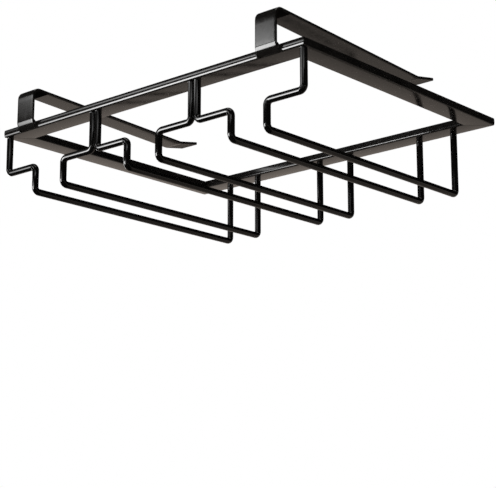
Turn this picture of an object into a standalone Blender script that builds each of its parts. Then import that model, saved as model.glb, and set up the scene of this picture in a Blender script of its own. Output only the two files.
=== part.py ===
"""Hanging stemware rack: a mitred frame of flat bars, two hangers that slide onto a shelf board,
and six bent wire rails, in pairs that leave three slots open towards the front.

Metres, +Z up. The origin is the middle of the front bar's top face, which lies under the board.
X runs to the right along the front bar, and Y runs back, under the board.
"""
import math

import bmesh
import bpy
from mathutils import Vector

# Frame of four flat bars
RACK_WIDTH = 0.340
RACK_DEPTH = 0.2555
BAR_WIDTH = 0.0197
BAR_THICKNESS = 0.0067
BAR_EDGE_RADIUS = 0.0006

# Wire rails
WIRE_DIAMETER = 0.0058
WIRE_BEND_INNER_RADIUS = 0.0012
WIRE_EDGE_MARGIN = 0.0015
WIRE_SIDE_MARGIN = 0.0010
WIRE_PAIR_GAP = 0.0003
SLOT_GAP = 0.0299
JOG_DROP = 0.0324
RAIL_DROP_BELOW_JOG = 0.0223

# Hangers
HANGER_WIDTH = 0.0204
HANGER_THICKNESS = 0.0025
HANGER_EDGE_RADIUS = 0.0004
HANGER_SIDE_INSET = 0.0231
HANGER_GAP_BEFORE_BAR = 0.0023
HANGER_BEND_INNER_RADIUS = 0.0050
ARM_RISE_ABOVE_FRAME = 0.0297
ARM_LENGTH = 0.182
TIP_LENGTH = 0.022
TIP_BEND_RADIUS = 0.012
ARM_SLOPE_ANGLE = math.radians(2.3)
TIP_LIFT_ANGLE = math.radians(11.0)

# Clearance between welded neighbours, and how fine the round shapes are
SEAM = 0.0003
BEND_STEPS = 6
EDGE_STEPS = 4
WIRE_BEVEL_RESOLUTION = 4
SMOOTH_ANGLE = math.radians(35.0)

# Places worked out from the sizes
wire_radius = WIRE_DIAMETER / 2
wire_bend_radius = WIRE_BEND_INNER_RADIUS + wire_radius
frame_front_y = -BAR_WIDTH / 2
frame_rear_y = frame_front_y + RACK_DEPTH
frame_bottom_z = -BAR_THICKNESS
front_wire_y = frame_front_y + WIRE_EDGE_MARGIN + wire_radius
rear_wire_y = frame_rear_y - WIRE_EDGE_MARGIN - wire_radius


def rounded_path(corners, radius_at, steps):
    """Points along the corners, with an arc of steps chords in place of each inner corner."""
    points = [corners[0]]
    for before, corner, after, radius in zip(corners, corners[1:], corners[2:], radius_at):
        back = (before - corner).normalized()
        ahead = (after - corner).normalized()
        half_angle = back.angle(ahead) / 2
        centre = corner + (back + ahead).normalized() * (radius / math.sin(half_angle))
        reach = radius / math.tan(half_angle)
        first = corner + back * reach - centre
        last = corner + ahead * reach - centre
        turn = first.angle(last)
        for step in range(steps + 1):
            share = step / steps
            blend = first * math.sin((1 - share) * turn) + last * math.sin(share * turn)
            points.append(centre + blend / math.sin(turn))
    points.append(corners[-1])
    return points


def offset_path(corners, distance):
    """Corners of a flat path moved sideways, to the right of its direction."""
    directions = [(b - a).normalized() for a, b in zip(corners, corners[1:])]
    normals = [Vector((d.y, -d.x)) for d in directions]
    moved = [corners[0] + normals[0] * distance]
    for corner, n_in, n_out in zip(corners[1:], normals, normals[1:]):
        moved.append(corner + (n_in + n_out) * (distance / (1 + n_in.dot(n_out))))
    moved.append(corners[-1] + normals[-1] * distance)
    return moved


def begin_before(points, limit):
    """A flat path without its start, up to where it first comes out in front of the limit along its X."""
    first = next(index for index, point in enumerate(points) if point.x < limit)
    last_hidden = points[first - 1]
    share = (last_hidden.x - limit) / (last_hidden.x - points[first].x)
    return [last_hidden.lerp(points[first], share)] + points[first:]


def painted_steel(name, colour, roughness):
    """Black paint on steel, for one sub-part."""
    material = bpy.data.materials.new(name + "_paint")
    material.use_nodes = True
    shader = material.node_tree.nodes["Principled BSDF"]
    shader.inputs["Base Color"].default_value = (*colour, 1)
    shader.inputs["Roughness"].default_value = roughness
    material.diffuse_color = (*colour, 1)
    return material


def place(name, data, location, rotation):
    """Object of the rack, carried by the origin empty."""
    piece = bpy.data.objects.new(name, data)
    piece.parent = origin
    piece.location = location
    piece.rotation_euler = rotation
    rack.objects.link(piece)
    return piece


def extruded_outline(name, points, length):
    """Mesh of a closed flat outline in XY, extruded both ways along Z to the length."""
    curve = bpy.data.curves.new(name, "CURVE")
    curve.dimensions = "2D"
    curve.fill_mode = "BOTH"
    curve.extrude = length / 2
    spline = curve.splines.new("POLY")
    spline.points.add(len(points) - 1)
    for spot, point in zip(spline.points, points):
        spot.co = (point.x, point.y, 0, 1)
    spline.use_cyclic_u = True
    outline = place(name, curve, (0, 0, 0), (0, 0, 0))
    evaluated = outline.evaluated_get(bpy.context.evaluated_depsgraph_get())
    mesh = bpy.data.meshes.new_from_object(evaluated)
    bpy.data.objects.remove(outline)
    shape = bmesh.new()
    shape.from_mesh(mesh)
    bmesh.ops.remove_doubles(shape, verts=shape.verts, dist=SEAM / 10)
    bmesh.ops.recalc_face_normals(shape, faces=shape.faces)
    shape.to_mesh(mesh)
    shape.free()
    return mesh


def saw_off(mesh, point, outward):
    """Cuts a mesh flat at a plane and drops what lies on its outward side."""
    shape = bmesh.new()
    shape.from_mesh(mesh)
    everything = shape.verts[:] + shape.edges[:] + shape.faces[:]
    cut = bmesh.ops.bisect_plane(
        shape, geom=everything, plane_co=point, plane_no=outward, clear_outer=True
    )
    rim = [part for part in cut["geom_cut"] if isinstance(part, bmesh.types.BMEdge)]
    bmesh.ops.edgeloop_fill(shape, edges=rim)
    bmesh.ops.recalc_face_normals(shape, faces=shape.faces)
    shape.to_mesh(mesh)
    shape.free()


def shade_round(mesh):
    """Smooth shading on the round faces, with sharp edges kept."""
    mesh.shade_smooth()
    mesh.set_sharp_from_angle(angle=SMOOTH_ANGLE)


def bar_profile():
    """Cross-section of a flat bar: a rectangle with rounded corners, centred on the bar's axis."""
    half_width = BAR_WIDTH / 2
    half_thickness = BAR_THICKNESS / 2
    start = Vector((0, -half_thickness))
    corners = [
        start,
        Vector((half_width, -half_thickness)),
        Vector((half_width, half_thickness)),
        Vector((-half_width, half_thickness)),
        Vector((-half_width, -half_thickness)),
        start,
    ]
    return rounded_path(corners, [BAR_EDGE_RADIUS] * 4, EDGE_STEPS)[:-1]


def frame_bar(name, length, location, turn):
    """One side of the frame, mitred at both ends. Its own Z runs along it and its own -X faces out."""
    mesh = extruded_outline(name, bar_profile(), length)
    for end in (-1, 1):
        outer_corner = Vector((-BAR_WIDTH / 2, 0, end * length / 2))
        mitre_normal = Vector((1, 0, end)).normalized()
        saw_off(mesh, outer_corner - mitre_normal * (SEAM / 2), mitre_normal)
    mesh.materials.append(painted_steel(name, (0.012, 0.011, 0.010), 0.22))
    shade_round(mesh)
    place(name, mesh, location, (math.pi / 2, 0, math.pi / 2 + turn))


def hanger_outline():
    """Side view of a hanger: short foot, riser before the front bar, arm, turned-up tip.

    The outline's X is the rack's Y and its Y is the rack's Z.
    """
    outer_bend = HANGER_BEND_INNER_RADIUS + HANGER_THICKNESS
    riser_y = frame_front_y - HANGER_GAP_BEFORE_BAR - HANGER_THICKNESS
    arm_direction = Vector((math.cos(ARM_SLOPE_ANGLE), -math.sin(ARM_SLOPE_ANGLE)))
    tip_direction = Vector((math.cos(TIP_LIFT_ANGLE), math.sin(TIP_LIFT_ANGLE)))
    foot_start = Vector((frame_front_y + 2 * outer_bend, frame_bottom_z))
    foot_corner = Vector((riser_y, frame_bottom_z))
    top_corner = Vector((riser_y, ARM_RISE_ABOVE_FRAME))
    tip_corner = top_corner + arm_direction * ARM_LENGTH
    tip_end = tip_corner + tip_direction * TIP_LENGTH
    outer = [foot_start, foot_corner, top_corner, tip_corner, tip_end]
    inner = offset_path(outer, HANGER_THICKNESS)
    outer_radii = [outer_bend, outer_bend, TIP_BEND_RADIUS]
    inner_radii = [HANGER_BEND_INNER_RADIUS, HANGER_BEND_INNER_RADIUS, TIP_BEND_RADIUS + HANGER_THICKNESS]
    outer_face = begin_before(rounded_path(outer, outer_radii, BEND_STEPS), frame_front_y - SEAM)
    inner_face = begin_before(rounded_path(inner, inner_radii, BEND_STEPS), frame_front_y - SEAM)
    return outer_face + inner_face[::-1]


def hanger(name, middle_x):
    """Strip bent like a flat hook, with its edges broken all round."""
    mesh = extruded_outline(name, hanger_outline(), HANGER_WIDTH)
    mesh.materials.append(painted_steel(name, (0.020, 0.019, 0.018), 0.26))
    shade_round(mesh)
    strip = place(name, mesh, (middle_x, 0, 0), (math.pi / 2, 0, math.pi / 2))
    edges = strip.modifiers.new("broken_edges", "BEVEL")
    edges.width = HANGER_EDGE_RADIUS
    edges.segments = 2
    edges.limit_method = "ANGLE"
    edges.angle_limit = SMOOTH_ANGLE


def rail(name, top_x, jog):
    """Bent wire: down from the front bar, sideways by the jog, down, back under the frame, and up."""
    length = rear_wire_y - front_wire_y
    lowest = JOG_DROP + RAIL_DROP_BELOW_JOG - SEAM
    corners = [
        Vector((0, 0, 0)),
        Vector((0, 0, SEAM - JOG_DROP)),
        Vector((jog, 0, SEAM - JOG_DROP)),
        Vector((jog, 0, -lowest)),
        Vector((jog, length, -lowest)),
        Vector((jog, length, 0)),
    ]
    points = rounded_path(corners, [wire_bend_radius] * 4, BEND_STEPS)
    curve = bpy.data.curves.new(name, "CURVE")
    curve.dimensions = "3D"
    curve.bevel_depth = wire_radius
    curve.bevel_resolution = WIRE_BEVEL_RESOLUTION
    curve.use_fill_caps = True
    spline = curve.splines.new("POLY")
    spline.points.add(len(points) - 1)
    for spot, point in zip(spline.points, points):
        spot.co = (*point, 1)
    spline.use_smooth = True
    curve.materials.append(painted_steel(name, (0.010, 0.009, 0.009), 0.18))
    place(name, curve, (top_x, front_wire_y, frame_bottom_z - SEAM), (0, 0, 0))


def build_frame():
    """Four bars, each turned by quarter turns round the frame's middle."""
    middle = Vector((0, (frame_front_y + frame_rear_y) / 2, -BAR_THICKNESS / 2))
    sides = [
        ("frame_front_bar", RACK_WIDTH, RACK_DEPTH),
        ("frame_right_bar", RACK_DEPTH, RACK_WIDTH),
        ("frame_rear_bar", RACK_WIDTH, RACK_DEPTH),
        ("frame_left_bar", RACK_DEPTH, RACK_WIDTH),
    ]
    for quarter, (name, length, span) in enumerate(sides):
        turn = quarter * math.pi / 2
        outward = Vector((math.sin(turn), -math.cos(turn), 0))
        frame_bar(name, length, middle + outward * (span - BAR_WIDTH) / 2, turn)


def build_hangers():
    """One hanger near each end of the front bar."""
    middle_x = RACK_WIDTH / 2 - HANGER_SIDE_INSET - HANGER_WIDTH / 2
    hanger("left_hanger", -middle_x)
    hanger("right_hanger", middle_x)


def build_rails():
    """Two rails a slot, three slots. Every jog has the same length, which fills the rack's width."""
    rail_spacing = SLOT_GAP + WIRE_DIAMETER
    pair_spacing = WIRE_PAIR_GAP + WIRE_DIAMETER
    end_wire_x = RACK_WIDTH / 2 - WIRE_SIDE_MARGIN - wire_radius
    jog_length = (end_wire_x - pair_spacing - 1.5 * rail_spacing) / 3
    slot_pitch = rail_spacing + 2 * jog_length + pair_spacing
    for slot, slot_name in enumerate(("left", "middle", "right")):
        for side, side_name in ((-1, "left"), (1, "right")):
            rail_x = (slot - 1) * slot_pitch + side * rail_spacing / 2
            rail(f"{slot_name}_slot_{side_name}_rail", rail_x + side * jog_length, -side * jog_length)


for leftover in list(bpy.data.objects):
    bpy.data.objects.remove(leftover, do_unlink=True)
rack = bpy.data.collections.new("hanging_stemware_rack")
bpy.context.scene.collection.children.link(rack)
origin = bpy.data.objects.new("rack_origin", None)
rack.objects.link(origin)
build_frame()
build_hangers()
build_rails()
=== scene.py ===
"""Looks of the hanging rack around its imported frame: painted steel, weld beads and a plain studio.

Metres, in the frame's axes: X to the right along the front bar, Y back under the board, Z up.
"""
import math

import bmesh
import bpy
from mathutils import Matrix, Vector, noise


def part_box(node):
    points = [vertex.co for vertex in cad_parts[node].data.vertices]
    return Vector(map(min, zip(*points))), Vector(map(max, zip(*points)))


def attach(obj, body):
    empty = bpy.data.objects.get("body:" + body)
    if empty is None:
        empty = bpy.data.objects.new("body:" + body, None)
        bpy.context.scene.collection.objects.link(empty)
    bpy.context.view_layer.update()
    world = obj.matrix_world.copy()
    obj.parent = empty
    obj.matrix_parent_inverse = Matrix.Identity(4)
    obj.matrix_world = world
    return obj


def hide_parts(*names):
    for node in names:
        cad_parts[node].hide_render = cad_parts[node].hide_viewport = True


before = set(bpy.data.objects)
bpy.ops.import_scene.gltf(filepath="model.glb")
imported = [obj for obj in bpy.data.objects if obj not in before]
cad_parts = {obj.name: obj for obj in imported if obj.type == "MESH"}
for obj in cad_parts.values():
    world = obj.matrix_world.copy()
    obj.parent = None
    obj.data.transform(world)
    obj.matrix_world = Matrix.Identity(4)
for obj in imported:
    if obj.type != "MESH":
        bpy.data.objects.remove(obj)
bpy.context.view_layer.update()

# Flat bars of the frame
BAR_CORNER_RADIUS = 0.0005
FRONT_BAR_LOWER_CORNER_RADIUS = 0.0015
BAR_LOWER_CORNER_RADIUS = 0.0007
BAR_FACE_TILT = math.radians(1.6)
BAR_UPPER_EDGE_TILT = math.radians(9.0)
# Tilt at the end of each stretch of the rolled outer edge, and the stretch's length
BAR_ROLLED_EDGE = (
    (math.radians(0.0), 0.00245),
    (math.radians(-4.5), 0.00135),
    (math.radians(-5.5), 0.0004),
    (math.radians(-20.0), 0.00115),
)
BAR_INNER_UPPER_TILT = math.radians(1.0)
BAR_INNER_LOWER_TILT = math.radians(3.0)
BAR_INNER_LOWER_CORNER_RADIUS = 0.0008
REAR_BAR_INNER_LOWER_CORNER_RADIUS = 0.0016
MITRE_GROOVE_DEPTH = 0.00022
MITRE_GROOVE_WIDTH = 0.00035
BAR_STATION_SHARES = (0.25, 0.5, 0.75)

# Bent wires
WIRE_DIAMETER = 0.0058
WIRE_BEND_INNER_RADIUS = 0.0012
JOG_DROP = 0.0324
WIRE_SIDES = 32
WIRE_LONGEST_RUN = 4 * WIRE_DIAMETER

# Bent strips
HANGER_THICKNESS = 0.0025
HANGER_EDGE_RADIUS = 0.00065
HANGER_EDGE_TILT = math.radians(6.0)
HANGER_FACE_TILT = math.radians(0.35)
HANGER_BEND_INNER_RADIUS = 0.0050
HANGER_LONGEST_RUN = 2 * HANGER_THICKNESS
ARM_RISE_ABOVE_FRAME = 0.0297
ARM_LENGTH = 0.182
TIP_LENGTH = 0.022
TIP_BEND_RADIUS = 0.012
ARM_SLOPE_ANGLE = math.radians(2.3)
TIP_LIFT_ANGLE = math.radians(11.0)
CREASE_RISE_ABOVE_FRAME = 0.0008
CREASE_BEND_RADIUS = 0.004
FOOT_FACET_ANGLE = math.radians(10.0)
FOOT_BEND_RADIUS = 0.0052
FOOT_REACH_INTO_BAR = 0.0022
# Painted shade in the inner corner under each arm: the strip loses its gloss up to this depth behind the
# front, then fades over this length
PAINTED_SHADE_CORNER_END = 0.0025
PAINTED_SHADE_CORNER_FADE = 0.0003
# Painted shade on the low part of each foot: its gloss fades out below this height, over this length
PAINTED_SHADE_FOOT_TOP = -0.0020
PAINTED_SHADE_FOOT_FADE = 0.0015
# Painted shade that dims the highlight on the facet above each foot
FACET_PAINTED_SHADE = 0.36

# Welds
WELD_OVERLAP = 0.0003
WELD_WEAR = 0.3
WELD_DULLNESS = 0.9
WELD_RIPPLE = 0.00012
WELD_RIPPLE_PITCH = 0.0011
WIRE_WELD_LEG = 0.0006
WIRE_WELD_INNER_SHARE = 0.9
WIRE_WELD_SWELL = 0.25
WIRE_WELD_TURNS = 32
WIRE_WELD_PROFILE_STEPS = 5
HANGER_WELD_RISE = 0.0006
HANGER_WELD_DROP = 0.0013
HANGER_WELD_OVERHANG = 0.0012
HANGER_WELD_STEPS = 64
HANGER_WELD_SIDES = 8
HANGER_WELD_END_POWER = 24
HANGER_WELD_END_FULLNESS = 0.3
SIDE_WELD_REACH = 0.0026
SIDE_WELD_DEPTH = 0.0024
SIDE_WELD_TOP = -0.0013
SIDE_WELD_TAPER = 0.75
SIDE_WELD_UNEVENNESS = 0.2
SIDE_WELD_STEPS = 12
SIDE_WELD_SIDES = 10

# Fineness of the meshes
ARC_STEPS = 10
CORNER_STEPS = 6
FACE_STEPS = 6
SHEET_STEPS = 12
DOME_SEGMENTS = 48
FLOOR_SEGMENTS = 8
SHARP_ANGLE = math.radians(40.0)

# Paint. A noise is its scale, detail and roughness, and a span is the part of a noise's range that counts.
DRIFT_NOISE = (35.0, 3.0, 0.55)
CLOUD_NOISE = (160.0, 4.0, 0.6)
DUST_NOISE = (6000.0, 1.0, 0.5)
PEEL_DETAIL = 2.0
PEEL_ROUGHNESS = 0.5
PEEL_HEIGHT = 0.0000012
DRIFT_SPAN = (0.35, 0.65)
RUB_SPAN = (0.45, 0.70)
LEAST_RUB = 0.15
CLOUD_SPAN = (0.3, 0.7)
CLOUD_GLOSSIEST = 0.8
CLOUD_DULLEST = 1.25
RUBBED_ROUGHNESS = 0.08
DUST_SPAN = (0.62, 0.75)
DUST_ROUGHNESS = 0.05
SPECULAR_LEVEL = 0.5

# Camera
CAMERA_PLACE = (0.7997, -0.7788, -0.3886)
CAMERA_YAW = math.radians(41.649)
CAMERA_PITCH = math.radians(13.232)
CAMERA_FOCAL_LENGTH_MM = 105.75
CAMERA_SENSOR_WIDTH_MM = 36.0
CAMERA_CLIP_START = 0.01

# Floor and surroundings
FLOOR_DROP = 1.10
FLOOR_SIZE = 80.0
FLOOR_NOISE = (3.0, 4.0, 0.6)
FLOOR_COLOURS = ((0.80, 0.765, 0.73), (0.84, 0.805, 0.77))
FLOOR_ROUGHNESS = 0.9
FLOOR_SPECULAR_LEVEL = 0.1
WORLD_LIGHT_STRENGTH = 0.75
WORLD_VIEW_STRENGTH = 1.0
DOME_RADIUS = 3.2
TRAY_DROP = 0.60
REAR_FLAG_DEPTH = 0.02
REAR_FLAG_LOW = 0.022
REAR_FLAG_HIGH = 0.20
REAR_FLAG_HALF_WIDTH = 0.60

# Lights. The corners of a sheet are its low left, low right, high right and high left one. A ramp is the
# sheet's U (left to right) or V (low to high) that it follows, its start and end there, and the levels of
# light up to its start and from its end.
BLACK = (0.0, 0.0, 0.0)
WHITE = (1.0, 1.0, 1.0)
WARM = (1.0, 0.87, 0.77)
WALL_DISTANCE = 1.0
# Name, azimuth of the wall in degrees, (left, up) of each corner seen from outside, radiance, ramps
WALL_LIGHTS = (
    ("key_softbox", 45, ((0.33, -0.28), (-0.45, -0.44), (-0.45, 0.205), (0.33, 0.103)), 17.2,
     (("U", 0.10, 0.46, 0.0, 1.0), ("V", 0.0, 0.06, 0.0, 1.0), ("V", 0.87, 1.0, 1.0, 0.0))),
    ("strip_softbox", 45, ((0.30, 0.295), (-0.30, 0.335), (-0.30, 0.470), (0.30, 0.430)), 6.4,
     (("U", 0.10, 0.58, 0.09, 1.0), ("V", 0.0, 0.25, 0.0, 1.0), ("V", 0.50, 1.0, 1.0, 0.0))),
    ("front_softbox", 0, ((0.10, 0.280), (-0.42, 0.300), (-0.42, 0.43), (0.10, 0.43)), 0.9,
     (("U", 0.0, 0.35, 0.0, 1.0), ("U", 0.75, 1.0, 1.0, 0.0), ("V", 0.0, 0.25, 0.0, 1.0))),
    ("fill_softbox", 0, ((0.38, 0.03), (-0.38, 0.03), (-0.38, 0.20), (0.38, 0.20)), 2.2,
     (("U", 0.0, 0.3, 0.0, 1.0), ("U", 0.7, 1.0, 1.0, 0.0),
      ("V", 0.0, 0.3, 0.0, 1.0), ("V", 0.45, 0.9, 1.0, 0.0))),
    ("streak_softbox", -45, ((0.60, 0.280), (-0.15, 0.286), (-0.15, 0.350), (0.60, 0.350)), 2.6,
     (("V", 0.0, 0.25, 0.0, 1.0), ("V", 0.35, 0.8, 1.0, 0.0))),
    ("side_softbox", 104, ((0.25, -0.18), (-0.25, -0.18), (-0.25, 0.24), (0.25, 0.24)), 4.0,
     (("V", 0.9, 1.0, 1.0, 0.0),)),
)
# Name, corners seen from in front or above, radiance, tint, ramps, whether only gloss shows it
ROOM_LIGHTS = (
    ("top_softbox", ((-0.8, -0.7, 1.6), (0.8, -0.7, 1.6), (0.8, 0.9, 1.6), (-0.8, 0.9, 1.6)),
     2.5, (1.0, 0.985, 0.96), (("V", 0.0, 0.2, 0.0, 1.0),), False),
    ("floor_glow", ((-2.2, 0.15, -0.35), (1.2, 0.15, -0.35), (1.2, 2.4, -0.35), (-2.2, 2.4, -0.35)),
     0.40, WARM,
     (("U", 0.35, 0.53, 1.22, 0.68), ("V", 0.0, 0.09, 0.0, 1.0), ("V", 0.16, 0.46, 0.85, 1.35)), True),
    ("rear_glow", ((-2.4, 2.4, -0.35), (-0.8, 2.4, -0.35), (-0.8, 2.4, 0.17), (-2.4, 2.4, 0.17)),
     0.14, WARM, (("V", 0.8, 1.0, 1.0, 0.0),), True),
)


def rounded_path(corners, radii, steps):
    """Points along the corners, with an arc in place of each inner corner."""
    points = [corners[0]]
    for before, corner, after, radius in zip(corners, corners[1:], corners[2:], radii):
        back = (before - corner).normalized()
        ahead = (after - corner).normalized()
        half_angle = back.angle(ahead) / 2
        centre = corner + (back + ahead).normalized() * (radius / math.sin(half_angle))
        reach = radius / math.tan(half_angle)
        first = corner + back * reach - centre
        last = corner + ahead * reach - centre
        turn = first.angle(last)
        for step in range(steps + 1):
            share = step / steps
            blend = first * math.sin((1 - share) * turn) + last * math.sin(share * turn)
            points.append(centre + blend / math.sin(turn))
    points.append(corners[-1])
    return points


def subdivided(points, longest):
    """The same path with its long runs cut into shorter ones."""
    result = [points[0]]
    for start, end in zip(points, points[1:]):
        pieces = max(1, math.ceil((end - start).length / longest))
        result += [start.lerp(end, step / pieces) for step in range(1, pieces + 1)]
    return result


def path_tangents(points):
    """Direction of a path at each of its points."""
    tangents = []
    for index, point in enumerate(points):
        before = points[max(index - 1, 0)]
        after = points[min(index + 1, len(points) - 1)]
        arriving = (point - before).normalized()
        leaving = (after - point).normalized()
        tangents.append((arriving + leaving).normalized())
    return tangents


def placed(name, shape):
    """Object of a finished shape, in the scene."""
    mesh = bpy.data.meshes.new(name)
    shape.to_mesh(mesh)
    shape.free()
    thing = bpy.data.objects.new(name, mesh)
    bpy.context.scene.collection.objects.link(thing)
    return thing


def loft(name, rings, wear, painted_shade_and_dullness=None, closed=False):
    """Solid through rings of points, smooth but for its sharp edges, with flat ends or closed to a loop.

    wear holds 0..1 for each point of a ring, and painted_shade_and_dullness, if given, a list of 0..1 for
    each ring's points: painted shade on the hangers and the dullness of the weld beads.
    """
    shape = bmesh.new()
    wear_layer = shape.verts.layers.float.new("edge_wear")
    # Painted shade of the hangers and the dullness of weld beads
    painted_shade_and_dullness_layer = shape.verts.layers.float.new("painted_shade_and_dull_weld")
    grid = []
    for index, ring in enumerate(rings):
        row = [shape.verts.new(point) for point in ring]
        for place, vertex in enumerate(row):
            vertex[wear_layer] = wear[place]
            vertex[painted_shade_and_dullness_layer] = painted_shade_and_dullness[index][place] if painted_shade_and_dullness else 0.0
        grid.append(row)
    count = len(wear)
    next_rows = grid[1:] + grid[:1] if closed else grid[1:]
    for low, high in zip(grid, next_rows):
        for index in range(count):
            following = (index + 1) % count
            shape.faces.new((low[index], low[following], high[following], high[index]))
    if not closed:
        shape.faces.new(grid[0][::-1])
        shape.faces.new(grid[-1])
    bmesh.ops.recalc_face_normals(shape, faces=shape.faces)
    piece = placed(name, shape)
    piece.data.shade_smooth()
    piece.data.set_sharp_from_angle(angle=SHARP_ANGLE)
    return piece


def dress(piece, material, slot, *nodes):
    """Gives a piece its finish and its body, and hides the CAD nodes that it stands for."""
    piece.data.materials.append(material)
    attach(piece, "root")
    if nodes:
        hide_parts(*nodes)


def half_section(half_width, height, stretches):
    """Half of a bar's section, from the middle of its top face round one edge to that of its underside.

    Each stretch is (tilt of the surface's outward normal above the level at its end, length along the
    surface, steps, wear). Returns (outward x, z below the top face, wear).
    """
    x, z, tilt = 0.0, 0.0, math.pi / 2
    points = [(x, z, 0.0)]
    for end_tilt, length, steps, wear in stretches:
        start_tilt = tilt
        for step in range(1, steps + 1):
            tilt = start_tilt + (end_tilt - start_tilt) * step / steps
            middle_tilt = start_tilt + (end_tilt - start_tilt) * (step - 0.5) / steps
            x += math.sin(middle_tilt) * length / steps
            z -= math.cos(middle_tilt) * length / steps
            points.append((x, z, wear * (1 - abs(2 * step / steps - 1))))
    drift = x
    count = len(points) - 1
    level = [(x - drift * index / count, z * height / -points[-1][1], wear)
             for index, (x, z, wear) in enumerate(points)]
    widest = max(x for x, _, _ in level)
    return [(x * half_width / widest, z, wear) for x, z, wear in level]


def bar_section(width, height, low_corner, inner_corner):
    """Section of a flat bar as (outer x from -width/2, z, wear).

    Its outer edge is rolled: it swells to a crown above its middle and turns under in a wide lower corner.
    """
    half = width / 2
    quarter = math.pi / 2
    corner = BAR_CORNER_RADIUS
    last_tilt = BAR_ROLLED_EDGE[-1][0]
    face = quarter - BAR_FACE_TILT
    outer = half_section(half, height, [
        (face, half - corner, FACE_STEPS, 0.0),
        (BAR_UPPER_EDGE_TILT, corner * (face - BAR_UPPER_EDGE_TILT), CORNER_STEPS, 1.0),
        *((tilt, length, FACE_STEPS, 0.0) for tilt, length in BAR_ROLLED_EDGE),
        (-face, low_corner * (face + last_tilt), 2 * CORNER_STEPS, 1.0),
        (-quarter, half - low_corner, FACE_STEPS, 0.0),
    ])
    inner = half_section(half, height, [
        (face, half - corner, FACE_STEPS, 0.0),
        (-BAR_INNER_UPPER_TILT, corner * (face + BAR_INNER_UPPER_TILT), CORNER_STEPS, 1.0),
        (-BAR_INNER_LOWER_TILT, height - corner - inner_corner, FACE_STEPS, 0.0),
        (-face, inner_corner * (face - BAR_INNER_LOWER_TILT), 2 * CORNER_STEPS, 1.0),
        (-quarter, half - inner_corner, FACE_STEPS, 0.0),
    ])
    ring = [(-x, z + height / 2, wear) for x, z, wear in outer]
    ring += [(x, z + height / 2, wear) for x, z, wear in inner[-2:0:-1]]
    return ring


def frame_bar(node, start, end, low_corners, material):
    """Crowned flat bar between two outer corners of the frame, mitred, with a groove at each mitre."""
    section = bar_section(bar_width, bar_height, *low_corners)
    along = (end - start).normalized()
    inward = Vector((-along.y, along.x, 0))
    length = (end - start).length
    middle_drop = Vector((0, 0, -bar_height / 2))
    stations = [(0.0, 1.0), (MITRE_GROOVE_WIDTH, 0.0)]
    stations += [(length * share, 0.0) for share in BAR_STATION_SHARES]
    stations += [(length - MITRE_GROOVE_WIDTH, 0.0), (length, 1.0)]
    rings = []
    for place, groove in stations:
        shrink = 1 - groove * MITRE_GROOVE_DEPTH / (bar_height / 2)
        narrow = 1 - groove * MITRE_GROOVE_DEPTH / (bar_width / 2)
        ring = []
        for x, z, _ in section:
            inset = x * narrow + bar_width / 2
            run = inset + (length - 2 * inset) * place / length
            ring.append(start + along * run + inward * inset + middle_drop + Vector((0, 0, z * shrink)))
        rings.append(ring)
    bar = loft(node + "_steel", rings, [wear for _, _, wear in section])
    dress(bar, material, "frame_paint", node)


def tube_rings(points, radius, sides):
    """Rings of a round wire along a path, each square to the path, turned with it and never twisted."""
    tangents = path_tangents(points)
    side = tangents[0].orthogonal().normalized()
    rings = []
    for index, (point, tangent) in enumerate(zip(points, tangents)):
        if index:
            side = tangents[index - 1].rotation_difference(tangent) @ side
        side = (side - tangent * side.dot(tangent)).normalized()
        other = tangent.cross(side)
        ring = []
        for step in range(sides):
            angle = 2 * math.pi * step / sides
            ring.append(point + (side * math.cos(angle) + other * math.sin(angle)) * radius)
        rings.append(ring)
    return rings


def rail(node, outward, material):
    """Bent round wire of one rail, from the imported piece's own box. outward is the side of its jog."""
    low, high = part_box(node)
    radius = WIRE_DIAMETER / 2
    top_x = high.x - radius if outward > 0 else low.x + radius
    rail_x = low.x + radius if outward > 0 else high.x - radius
    front_y = low.y + radius
    rear_y = high.y - radius
    jog_z = bar_bottom - JOG_DROP
    lowest = low.z + radius
    corners = [
        Vector((top_x, front_y, bar_bottom)),
        Vector((top_x, front_y, jog_z)),
        Vector((rail_x, front_y, jog_z)),
        Vector((rail_x, front_y, lowest)),
        Vector((rail_x, rear_y, lowest)),
        Vector((rail_x, rear_y, bar_bottom)),
    ]
    radii = [WIRE_BEND_INNER_RADIUS + radius] * 4
    path = subdivided(rounded_path(corners, radii, ARC_STEPS), WIRE_LONGEST_RUN)
    wire = loft(node + "_wire", tube_rings(path, radius, WIRE_SIDES), [0.0] * WIRE_SIDES)
    dress(wire, material, "wire_paint", node)
    for name, x, y in (("front", top_x, front_y), ("rear", rail_x, rear_y)):
        weld_ring(f"{node}_{name}_weld", Vector((x, y, bar_bottom)), radius, material)


def weld_ring(name, top, radius, material):
    """Small hollow fillet of weld round the top of a wire, where it meets a bar's underside."""
    profile = [(radius * WIRE_WELD_INNER_SHARE, 0.0)]
    for step in range(WIRE_WELD_PROFILE_STEPS + 1):
        angle = math.pi / 2 * step / WIRE_WELD_PROFILE_STEPS
        run = WIRE_WELD_LEG * (1 - math.sin(angle))
        drop = WIRE_WELD_LEG * (1 - math.cos(angle))
        profile.append((radius + run, drop))
    profile.append((radius * WIRE_WELD_INNER_SHARE, WIRE_WELD_LEG))
    rings = []
    for turn in range(WIRE_WELD_TURNS):
        angle = 2 * math.pi * turn / WIRE_WELD_TURNS
        direction = Vector((math.cos(angle), math.sin(angle), 0))
        swell = 1 + WIRE_WELD_SWELL * noise.noise((top + direction * radius) / WELD_RIPPLE_PITCH)
        ring = []
        for reach, drop in profile:
            extra = max(reach - radius, 0.0) * swell
            base = min(reach, radius)
            ring.append(top + direction * (base + extra) + Vector((0, 0, -drop)))
        rings.append(ring)
    bead = loft(name, rings, [WELD_WEAR] * len(profile), closed=True)
    dress(bead, material, "wire_paint")


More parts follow.
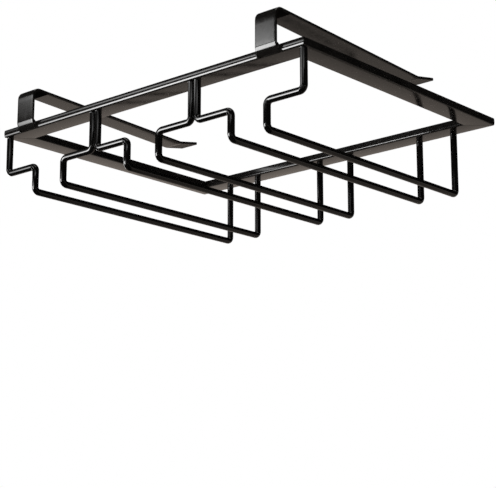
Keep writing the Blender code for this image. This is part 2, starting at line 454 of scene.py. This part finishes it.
def quarter_profile(half_width, half_height, face_tilt, edge_tilt, radius):
    """A quarter of a strip's section, from the middle of its flat face to the middle of its edge face.

    Both faces swell slightly: the flat face leans by face_tilt where its rounded corner starts, and the
    edge face by edge_tilt. Returns (x, y, wear) with both coordinates measured from the section's centre.
    """
    edge_radius_run = 1 - math.cos(edge_tilt)
    face_radius_rise = 1 - math.cos(face_tilt)
    corner_run = radius * (math.cos(edge_tilt) - math.sin(face_tilt))
    corner_rise = radius * (math.cos(face_tilt) - math.sin(edge_tilt))
    determinant = math.sin(face_tilt) * math.sin(edge_tilt) - edge_radius_run * face_radius_rise
    run = half_width - corner_run
    rise = half_height - corner_rise
    face_radius = (run * math.sin(edge_tilt) - rise * edge_radius_run) / determinant
    edge_radius = (rise * math.sin(face_tilt) - run * face_radius_rise) / determinant
    x, y, heading = 0.0, half_height, 0.0
    points = [(x, y, 0.0)]
    stretches = [
        (face_tilt, face_radius, FACE_STEPS, 0.0),
        (math.pi / 2 - edge_tilt, radius, CORNER_STEPS, 1.0),
        (math.pi / 2, edge_radius, FACE_STEPS, 0.0),
    ]
    for target, bend_radius, steps, wear in stretches:
        start = heading
        for step in range(1, steps + 1):
            following = start + (target - start) * step / steps
            x += bend_radius * (math.sin(following) - math.sin(heading))
            y -= bend_radius * (math.cos(heading) - math.cos(following))
            heading = following
            middle = 1 - abs(2 * step / steps - 1)
            points.append((x, y, wear * middle))
    return points


def strip_section(half_width, half_thickness):
    """Whole section of a bent strip as (x, y, wear), from the middle of its outer face all the way round."""
    quarter = quarter_profile(
        half_width, half_thickness, HANGER_FACE_TILT, HANGER_EDGE_TILT, HANGER_EDGE_RADIUS
    )
    section = [(-x, y, wear) for x, y, wear in quarter]
    section += [(-x, -y, wear) for x, y, wear in quarter[-2::-1]]
    section += [(x, -y, wear) for x, y, wear in quarter[1:]]
    section += [(x, y, wear) for x, y, wear in quarter[-2:0:-1]]
    return section


def hanger(node, material):
    """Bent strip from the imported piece's own box: foot, riser, arm and turned-up tip.

    Above the foot the riser turns in a little at a crease and ends in a short flat facet.
    """
    low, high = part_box(node)
    half_width = (high.x - low.x) / 2
    middle_x = (high.x + low.x) / 2
    half_thickness = HANGER_THICKNESS / 2
    riser_y = low.y + half_thickness
    bottom_z = low.z + half_thickness
    bend = HANGER_BEND_INNER_RADIUS + half_thickness
    arm_direction = Vector((0, math.cos(ARM_SLOPE_ANGLE), -math.sin(ARM_SLOPE_ANGLE)))
    tip_direction = Vector((0, math.cos(TIP_LIFT_ANGLE), math.sin(TIP_LIFT_ANGLE)))
    outer_top = Vector((middle_x, low.y, ARM_RISE_ABOVE_FRAME))
    drop = half_thickness * (1 / math.cos(ARM_SLOPE_ANGLE) + math.tan(ARM_SLOPE_ANGLE))
    top_corner = Vector((middle_x, riser_y, outer_top.z - drop))
    tip_corner = outer_top + arm_direction * ARM_LENGTH
    tip_corner.z -= half_thickness
    foot_corner_y = riser_y + (CREASE_RISE_ABOVE_FRAME - bottom_z) * math.tan(FOOT_FACET_ANGLE)
    corners = [
        Vector((middle_x, bar_front + FOOT_REACH_INTO_BAR, bottom_z)),
        Vector((middle_x, foot_corner_y, bottom_z)),
        Vector((middle_x, riser_y, CREASE_RISE_ABOVE_FRAME)),
        top_corner,
        tip_corner,
        tip_corner + tip_direction * TIP_LENGTH,
    ]
    radii = [FOOT_BEND_RADIUS, CREASE_BEND_RADIUS, bend, TIP_BEND_RADIUS + half_thickness]
    path = subdivided(rounded_path(corners, radii, ARC_STEPS), HANGER_LONGEST_RUN)
    # Stations where the painted shade of the inner corner ends and where it has faded out
    painted_shade_ends = [top_corner.lerp(tip_corner, (place - riser_y) / (tip_corner.y - riser_y))
                 for place in (PAINTED_SHADE_CORNER_END, PAINTED_SHADE_CORNER_END + PAINTED_SHADE_CORNER_FADE)]
    arm_start = bar_front + bend
    arm_points = [point for point in path if point.y > arm_start] + painted_shade_ends
    arm_points.sort(key=lambda point: point.y)
    path = [point for point in path if point.y <= arm_start] + arm_points
    riser_high = top_corner.z - bend
    section = strip_section(half_width, half_thickness)
    rings = []
    painted_shade_and_dullness = []
    for point, tangent in zip(path, path_tangents(path)):
        normal = Vector((0, -tangent.z, tangent.y))
        rings.append([point + Vector((x, 0, 0)) + normal * y for x, y, _ in section])
        # Painted shade on the inner face of the strip, in the corner under the arm
        at_corner = point.z > riser_high and point.y < PAINTED_SHADE_CORNER_END + PAINTED_SHADE_CORNER_FADE / 2
        shaded = 1.0 if at_corner else 0.0
        # Painted shade on the foot's low part
        painted_shade_foot = min(max((PAINTED_SHADE_FOOT_TOP - point.z) / PAINTED_SHADE_FOOT_FADE, 0.0), 1.0)
        # Painted shade on the facet, which dims its highlight
        facet = FACET_PAINTED_SHADE if point.z < CREASE_RISE_ABOVE_FRAME else 0.0
        painted_shade_and_dullness.append([max(shaded if y < 0 else 0.0, painted_shade_foot, facet) for _, y, _ in section])
    strip = loft(node + "_strip", rings, [wear for _, _, wear in section], painted_shade_and_dullness)
    dress(strip, material, "hanger_paint", node)
    weld_line(node + "_foot_weld", middle_x, half_width, riser_y + half_thickness, material)
    weld_side(node + "_left_weld", middle_x - half_width, -1, material)
    weld_side(node + "_right_weld", middle_x + half_width, 1, material)


def hanger_bead(name, rings, material):
    """Dull bead of weld at a hanger's foot."""
    count = len(rings[0])
    bead = loft(name, rings, [WELD_WEAR] * count, [[WELD_DULLNESS] * count] * len(rings))
    dress(bead, material, "hanger_paint")


def weld_line(name, middle_x, half_width, riser_back, material):
    """Rippled weld that fills the pocket between a hanger's riser, its foot and the front bar."""
    foot_top = bar_bottom + HANGER_THICKNESS
    back, front = riser_back - WELD_OVERLAP, bar_front + WELD_OVERLAP
    length = 2 * (half_width + HANGER_WELD_OVERHANG)
    rings = []
    for step in range(HANGER_WELD_STEPS + 1):
        share = step / HANGER_WELD_STEPS
        x = middle_x + length * (share - 1 / 2)
        ripple = WELD_RIPPLE * abs(math.sin(math.pi * length * share / WELD_RIPPLE_PITCH))
        end_round = math.sqrt(max(1 - (2 * share - 1) ** HANGER_WELD_END_POWER, 0.0))
        fullness = HANGER_WELD_END_FULLNESS + (1 - HANGER_WELD_END_FULLNESS) * end_round
        ring = [Vector((x, back, foot_top)), Vector((x, front, foot_top))]
        for side in range(HANGER_WELD_SIDES + 1):
            across = side / HANGER_WELD_SIDES
            hollow = 1 - math.sin(math.pi / 2 * (1 - across))
            height = -HANGER_WELD_DROP + (HANGER_WELD_RISE + HANGER_WELD_DROP) * hollow - ripple
            height = foot_top + (height - foot_top) * fullness
            ring.append(Vector((x, front + (back - front) * across, height)))
        rings.append(ring)
    hanger_bead(name, rings, material)


def weld_side(name, foot_side_x, outward, material):
    """Fillet of weld at one side of a hanger's foot, running out on the bar's front."""
    middle_z = (SIDE_WELD_TOP + bar_bottom) / 2
    rings = []
    for step in range(SIDE_WELD_STEPS + 1):
        share = step / SIDE_WELD_STEPS
        x = foot_side_x + outward * (SIDE_WELD_REACH * share - WELD_OVERLAP * (1 - share))
        depth = SIDE_WELD_DEPTH * (1 - share) ** 2 + WELD_RIPPLE
        half_height = (SIDE_WELD_TOP - bar_bottom) / 2 * math.sqrt(1 - SIDE_WELD_TAPER * share ** 2)
        ring = []
        for side in range(SIDE_WELD_SIDES + 1):
            angle = math.pi * side / SIDE_WELD_SIDES
            spot = Vector((x, 0, angle * WELD_RIPPLE_PITCH)) / WELD_RIPPLE_PITCH
            uneven = 1 + SIDE_WELD_UNEVENNESS * noise.noise(spot)
            bulge = math.sqrt(math.sin(angle)) * depth * uneven
            y = bar_front + WELD_OVERLAP - bulge
            ring.append(Vector((x, y, middle_z + half_height * math.cos(angle))))
        rings.append(ring)
    hanger_bead(name, rings, material)


def new_material(name):
    """Node material with its nodes, its links and its Principled shader."""
    material = bpy.data.materials.new(name)
    material.use_nodes = True
    nodes = material.node_tree.nodes
    links = material.node_tree.links
    return material, nodes, links, nodes["Principled BSDF"]


def add_noise(nodes, links, coordinates, scale, detail, roughness):
    """Noise texture in the object's own metres."""
    texture = nodes.new("ShaderNodeTexNoise")
    texture.inputs["Scale"].default_value = scale
    texture.inputs["Detail"].default_value = detail
    texture.inputs["Roughness"].default_value = roughness
    links.new(coordinates, texture.inputs["Vector"])
    return texture.outputs["Fac"]


def add_attribute(nodes, name):
    """Value that a mesh's points carry."""
    attribute = nodes.new("ShaderNodeAttribute")
    attribute.attribute_name = name
    return attribute.outputs["Fac"]


def add_range(nodes, links, value, low, high, to_low, to_high, interpolation="SMOOTHSTEP"):
    """Maps one range of values to another, smoothly or evenly."""
    ranger = nodes.new("ShaderNodeMapRange")
    ranger.interpolation_type = interpolation
    ranger.inputs["From Min"].default_value = low
    ranger.inputs["From Max"].default_value = high
    ranger.inputs["To Min"].default_value = to_low
    ranger.inputs["To Max"].default_value = to_high
    links.new(value, ranger.inputs["Value"])
    return ranger.outputs["Result"]


def add_math(nodes, links, operation, first, second):
    """Sum, product or other arithmetic of two values, either of which may be a plain number."""
    step = nodes.new("ShaderNodeMath")
    step.operation = operation
    for socket, value in zip(step.inputs, (first, second)):
        if isinstance(value, (int, float)):
            socket.default_value = value
        else:
            links.new(value, socket)
    return step.outputs["Value"]


def add_mix(nodes, links, share, first, second):
    """Mix of two colours, each given as three numbers or as a node's output."""
    mix = nodes.new("ShaderNodeMix")
    mix.data_type = "RGBA"
    for socket, colour in ((mix.inputs["A"], first), (mix.inputs["B"], second)):
        if isinstance(colour, tuple):
            socket.default_value = (*colour, 1)
        else:
            links.new(colour, socket)
    links.new(share, mix.inputs["Factor"])
    return mix.outputs["Result"]


def add_two_sided(nodes, links, face, back):
    """Surface that shows one shader on its face and another on its back."""
    mix = nodes.new("ShaderNodeMixShader")
    links.new(nodes.new("ShaderNodeNewGeometry").outputs["Backfacing"], mix.inputs[0])
    links.new(face, mix.inputs[1])
    links.new(back, mix.inputs[2])
    links.new(mix.outputs["Shader"], nodes["Material Output"].inputs["Surface"])


def black_paint(name, dark, light, worn, roughness, peel_scale, gloss_index):
    """Baked black enamel: orange peel, cloudy gloss, dust, slow colour drift and rubbed edges; gloss taken
    away on dull weld beads and where painted shade darkens the hangers.
    """
    material, nodes, links, shader = new_material(name)
    coordinates = nodes.new("ShaderNodeTexCoord").outputs["Object"]
    drift = add_noise(nodes, links, coordinates, *DRIFT_NOISE)
    cloud = add_noise(nodes, links, coordinates, *CLOUD_NOISE)
    peel = add_noise(nodes, links, coordinates, peel_scale, PEEL_DETAIL, PEEL_ROUGHNESS)
    dust = add_noise(nodes, links, coordinates, *DUST_NOISE)
    edge_wear = add_attribute(nodes, "edge_wear")
    rub = add_range(nodes, links, cloud, *RUB_SPAN, LEAST_RUB, 1.0)
    rubbed = add_math(nodes, links, "MULTIPLY", edge_wear, rub)
    lightness = add_range(nodes, links, drift, *DRIFT_SPAN, 0.0, 1.0)
    paint = add_mix(nodes, links, lightness, dark, light)
    links.new(add_mix(nodes, links, rubbed, paint, worn), shader.inputs["Base Color"])
    gloss = add_range(
        nodes, links, cloud, *CLOUD_SPAN, roughness * CLOUD_GLOSSIEST, roughness * CLOUD_DULLEST
    )
    rubbed_roughness = add_math(nodes, links, "MULTIPLY", rubbed, RUBBED_ROUGHNESS)
    gloss = add_math(nodes, links, "ADD", gloss, rubbed_roughness)
    dust_roughness = add_range(nodes, links, dust, *DUST_SPAN, 0.0, DUST_ROUGHNESS)
    gloss = add_math(nodes, links, "ADD", gloss, dust_roughness)
    links.new(gloss, shader.inputs["Roughness"])
    bump = nodes.new("ShaderNodeBump")
    bump.inputs["Strength"].default_value = 1.0
    bump.inputs["Distance"].default_value = PEEL_HEIGHT
    links.new(peel, bump.inputs["Height"])
    links.new(bump.outputs["Normal"], shader.inputs["Normal"])
    shader.inputs["IOR"].default_value = gloss_index
    # Gloss taken away by the painted shade on the hangers and on the dull weld beads
    painted_shade_and_dullness = add_attribute(nodes, "painted_shade_and_dull_weld")
    specular = add_range(nodes, links, painted_shade_and_dullness, 0.0, 1.0, SPECULAR_LEVEL, 0.0)
    links.new(specular, shader.inputs["Specular IOR Level"])
    return material


def black_cloth(name):
    """Black cloth of the studio's flags, with its nodes, its links and its shader."""
    material, nodes, links, shader = new_material(name)
    shader.inputs["Base Color"].default_value = (*BLACK, 1)
    shader.inputs["Specular IOR Level"].default_value = 0.0
    return material, nodes, links, shader


def wall_point(azimuth, left, up):
    """Point of an upright wall before the origin, in the direction of an azimuth.

    The azimuth is in degrees from straight in front, towards the left. Seen from outside, left is to the
    left on the wall, and up is above the frame's top.
    """
    turn = math.radians(azimuth)
    forward = Vector((-WALL_DISTANCE * math.sin(turn), -WALL_DISTANCE * math.cos(turn), 0))
    sideways = Vector((forward.y, -forward.x, 0)).normalized()
    return forward + sideways * left + Vector((0, 0, up))


def sheet(name, low_left, low_right, high_right, high_left):
    """Four-cornered studio sheet that faces the rack, with u from left to right and v from low to high."""
    shape = bmesh.new()
    layer = shape.loops.layers.uv.new("share")
    grid = []
    for row in range(SHEET_STEPS + 1):
        v = row / SHEET_STEPS
        left, right = low_left.lerp(high_left, v), low_right.lerp(high_right, v)
        shares = [column / SHEET_STEPS for column in range(SHEET_STEPS + 1)]
        grid.append([(shape.verts.new(left.lerp(right, u)), (u, v)) for u in shares])
    for low, high in zip(grid, grid[1:]):
        for column in range(SHEET_STEPS):
            spots = (low[column], low[column + 1], high[column + 1], high[column])
            face = shape.faces.new([vertex for vertex, _ in spots])
            for loop, (_, share) in zip(face.loops, spots):
                loop[layer].uv = share
            face.normal_update()
            if face.normal.dot(rack_middle - face.calc_center_median()) < 0:
                face.normal_flip()
    cloth = placed(name, shape)
    cloth.visible_camera = False
    cloth.visible_shadow = False
    return cloth


def softbox(name, corners, radiance, tint, ramps):
    """Sheet that glows towards the rack and is black behind, its radiance scaled by its ramps."""
    box = sheet(name, *corners)
    material, nodes, links, shader = new_material(name + "_glow")
    nodes.remove(shader)
    split = nodes.new("ShaderNodeSeparateXYZ")
    share = nodes.new("ShaderNodeUVMap")
    share.uv_map = "share"
    links.new(share.outputs["UV"], split.inputs["Vector"])
    outputs = {"U": split.outputs["X"], "V": split.outputs["Y"]}
    strength = radiance
    for axis, start, end, first_level, last_level in ramps:
        ramp = add_range(nodes, links, outputs[axis], start, end, first_level, last_level, "LINEAR")
        strength = add_math(nodes, links, "MULTIPLY", ramp, strength)
    glow = nodes.new("ShaderNodeEmission")
    glow.inputs["Color"].default_value = (*tint, 1)
    links.new(strength, glow.inputs["Strength"])
    dark = nodes.new("ShaderNodeEmission")
    dark.inputs["Strength"].default_value = 0.0
    add_two_sided(nodes, links, glow.outputs["Emission"], dark.outputs["Emission"])
    box.data.materials.append(material)
    return box


def only_in_reflections(thing):
    """Lets a dome, flag or glow change what gloss shows, and neither the floor nor the view."""
    thing.visible_camera = False
    thing.visible_diffuse = False
    thing.visible_shadow = False
    thing.visible_transmission = False


def build_dome():
    """Black dome over the rack and a black tray well below it, which keep the paint's reflections dark."""
    shape = bmesh.new()
    bmesh.ops.create_uvsphere(
        shape, u_segments=DOME_SEGMENTS, v_segments=DOME_SEGMENTS // 2, radius=DOME_RADIUS
    )
    low_faces = [face for face in shape.faces if face.calc_center_median().z < -TRAY_DROP]
    bmesh.ops.delete(shape, geom=low_faces, context="FACES")
    bmesh.ops.create_circle(
        shape, cap_ends=True, segments=DOME_SEGMENTS, radius=DOME_RADIUS,
        matrix=Matrix.Translation((0, 0, -TRAY_DROP)),
    )
    dome = placed("dark_dome", shape)
    dome.data.materials.append(black_cloth("flag_black")[0])
    dome.location = rack_middle
    only_in_reflections(dome)


def build_rear_flag():
    """Black flag above the front of the rack: black to what lies behind it, and clear from before it."""
    flag = sheet(
        "rear_flag",
        Vector((-REAR_FLAG_HALF_WIDTH, REAR_FLAG_DEPTH, REAR_FLAG_LOW)),
        Vector((REAR_FLAG_HALF_WIDTH, REAR_FLAG_DEPTH, REAR_FLAG_LOW)),
        Vector((REAR_FLAG_HALF_WIDTH, REAR_FLAG_DEPTH, REAR_FLAG_HIGH)),
        Vector((-REAR_FLAG_HALF_WIDTH, REAR_FLAG_DEPTH, REAR_FLAG_HIGH)),
    )
    material, nodes, links, shader = black_cloth("rear_flag_black")
    clear = nodes.new("ShaderNodeBsdfTransparent")
    add_two_sided(nodes, links, shader.outputs["BSDF"], clear.outputs["BSDF"])
    flag.data.materials.append(material)
    only_in_reflections(flag)


def build_softboxes():
    """Soft lights: a key low at the front left, dimmer ones round it and overhead, and glows from below."""
    for name, azimuth, corners, radiance, ramps in WALL_LIGHTS:
        softbox(name, [wall_point(azimuth, left, up) for left, up in corners], radiance, WHITE, ramps)
    for name, corners, radiance, tint, ramps, only_gloss in ROOM_LIGHTS:
        light = softbox(name, [Vector(corner) for corner in corners], radiance, tint, ramps)
        if only_gloss:
            only_in_reflections(light)


def build_floor():
    """Pale, faintly mottled floor well below the rack."""
    shape = bmesh.new()
    bmesh.ops.create_grid(
        shape, x_segments=FLOOR_SEGMENTS, y_segments=FLOOR_SEGMENTS, size=FLOOR_SIZE / 2
    )
    floor = placed("floor", shape)
    floor.location = (0, 0, -FLOOR_DROP)
    material, nodes, links, shader = new_material("floor_pale")
    coordinates = nodes.new("ShaderNodeTexCoord").outputs["Object"]
    mottle = add_noise(nodes, links, coordinates, *FLOOR_NOISE)
    links.new(add_mix(nodes, links, mottle, *FLOOR_COLOURS), shader.inputs["Base Color"])
    shader.inputs["Roughness"].default_value = FLOOR_ROUGHNESS
    shader.inputs["Specular IOR Level"].default_value = FLOOR_SPECULAR_LEVEL
    floor.data.materials.append(material)


def build_world():
    """White background for the view, gloss and clear materials, and an even dim light for all else."""
    world = bpy.data.worlds.new("studio")
    bpy.context.scene.world = world
    world.use_nodes = True
    nodes = world.node_tree.nodes
    links = world.node_tree.links
    background = nodes["Background"]
    background.inputs["Color"].default_value = (*WHITE, 1)
    path = nodes.new("ShaderNodeLightPath")
    seen = add_math(nodes, links, "ADD", path.outputs["Is Camera Ray"], path.outputs["Is Glossy Ray"])
    seen = add_math(nodes, links, "ADD", seen, path.outputs["Is Transmission Ray"])
    strength = add_range(nodes, links, seen, 0.0, 1.0, WORLD_LIGHT_STRENGTH, WORLD_VIEW_STRENGTH)
    links.new(strength, background.inputs["Strength"])


def build_camera():
    """Camera at the front right, well below the rack and tilted up at it."""
    data = bpy.data.cameras.new("camera")
    data.sensor_width = CAMERA_SENSOR_WIDTH_MM
    data.lens = CAMERA_FOCAL_LENGTH_MM
    data.clip_start = CAMERA_CLIP_START
    camera = bpy.data.objects.new("camera", data)
    camera.location = CAMERA_PLACE
    camera.rotation_euler = (math.pi / 2 + CAMERA_PITCH, 0, CAMERA_YAW)
    bpy.context.scene.collection.objects.link(camera)
    bpy.context.scene.camera = camera


def build_frame(material):
    """The four mitred bars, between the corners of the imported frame."""
    left, front = bar_low.x, bar_low.y
    right, rear = frame_high.x, frame_high.y
    corners = [Vector((x, y, 0)) for x, y in ((left, front), (right, front), (right, rear), (left, rear))]
    low_corners = {
        "frame_front_bar": (FRONT_BAR_LOWER_CORNER_RADIUS, BAR_INNER_LOWER_CORNER_RADIUS),
        "frame_right_bar": (BAR_LOWER_CORNER_RADIUS, BAR_INNER_LOWER_CORNER_RADIUS),
        "frame_rear_bar": (BAR_LOWER_CORNER_RADIUS, REAR_BAR_INNER_LOWER_CORNER_RADIUS),
        "frame_left_bar": (BAR_LOWER_CORNER_RADIUS, BAR_INNER_LOWER_CORNER_RADIUS),
    }
    for index, (node, radii) in enumerate(low_corners.items()):
        frame_bar(node, corners[index], corners[(index + 1) % len(corners)], radii, material)


def build_rails(material):
    """Two rails a slot, their jogs leading away from the slot."""
    for slot in ("left", "middle", "right"):
        rail(f"{slot}_slot_left_rail", -1, material)
        rail(f"{slot}_slot_right_rail", 1, material)


bar_low, bar_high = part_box("frame_front_bar")
bar_front = bar_low.y
bar_bottom = bar_low.z
bar_width = bar_high.y - bar_low.y
bar_height = bar_high.z - bar_low.z
frame_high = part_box("frame_rear_bar")[1]
rack_middle = Vector((0, (bar_low.y + frame_high.y) / 2, 0))

bar_paint = black_paint(
    "frame_enamel",
    dark=(0.0035, 0.0032, 0.0030), light=(0.0060, 0.0055, 0.0052), worn=(0.012, 0.011, 0.010),
    roughness=0.11, peel_scale=700.0, gloss_index=1.5,
)
strip_paint = black_paint(
    "hanger_enamel",
    dark=(0.0045, 0.0042, 0.0040), light=(0.0075, 0.0070, 0.0066), worn=(0.014, 0.013, 0.012),
    roughness=0.13, peel_scale=700.0, gloss_index=1.55,
)
wire_paint = black_paint(
    "wire_enamel",
    dark=(0.0017, 0.0016, 0.0015), light=(0.0031, 0.0029, 0.0028), worn=(0.006, 0.0055, 0.0055),
    roughness=0.055, peel_scale=800.0, gloss_index=1.5,
)

build_frame(bar_paint)
hanger("left_hanger", strip_paint)
hanger("right_hanger", strip_paint)
build_rails(wire_paint)
build_floor()
build_dome()
build_rear_flag()
build_softboxes()
build_world()
build_camera()
bpy.context.scene.view_settings.view_transform = "Standard"
